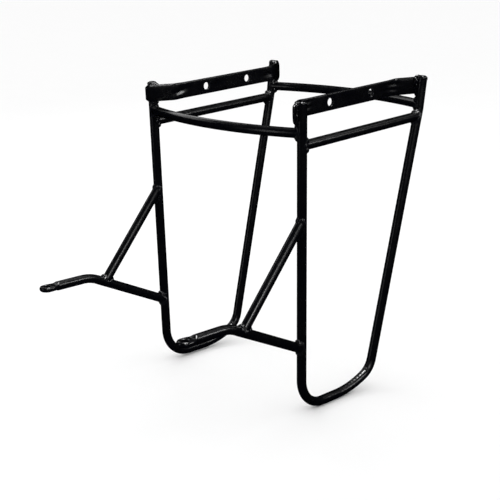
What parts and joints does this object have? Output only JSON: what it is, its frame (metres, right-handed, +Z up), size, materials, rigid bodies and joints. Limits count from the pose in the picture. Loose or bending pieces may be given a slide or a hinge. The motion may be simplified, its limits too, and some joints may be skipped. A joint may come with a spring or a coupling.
{
  "type": "bicycle wheel rack",
  "caption": "Welded tubular rack: side hoops that straddle a wheel, joined by rails, flat bars and bowed cross tubes, with braced arms ending in eyelets.",
  "frame": {"origin": "under the middle of the rack, at the surface that the two hoops stand on", "axes": "+Z up, -Y towards the end with the long arms (the front), +X to the right as seen from the front"},
  "size_m": [0.244, 0.3806, 0.3456],
  "materials": {
    "black_powder_coat": "satin black powder coat",
    "black_weld": "satin black powder coat over rippled weld"
  },
  "bodies": {
    "root": {"arm_left": "black_powder_coat", "arm_right": "black_powder_coat", "cross_tube_front": "black_powder_coat", "cross_tube_rear": "black_powder_coat", "hoop_left": "black_powder_coat", "hoop_right": "black_powder_coat", "leg_cap_front_left": "black_powder_coat", "leg_cap_front_right": "black_powder_coat", "leg_cap_rear_left": "black_powder_coat", "leg_cap_rear_right": "black_powder_coat", "side_rail_left": "black_powder_coat", "side_rail_right": "black_powder_coat", "strut_left": "black_powder_coat", "strut_right": "black_powder_coat", "top_bar_left": "black_powder_coat", "top_bar_right": "black_powder_coat", "weld_arm_left": "black_weld", "weld_arm_right": "black_weld", "weld_bar_front_left": "black_weld", "weld_bar_front_right": "black_weld", "weld_bar_rear_left": "black_weld", "weld_bar_rear_right": "black_weld", "weld_cross_front_left": "black_weld", "weld_cross_front_right": "black_weld", "weld_cross_rear_left": "black_weld", "weld_cross_rear_right": "black_weld", "weld_rail_front_left": "black_weld", "weld_rail_front_right": "black_weld", "weld_rail_rear_left": "black_weld", "weld_rail_rear_right": "black_weld", "weld_strut_foot_left": "black_weld", "weld_strut_foot_right": "black_weld", "weld_strut_top_left": "black_weld", "weld_strut_top_right": "black_weld"}
  },
  "joints": []
}
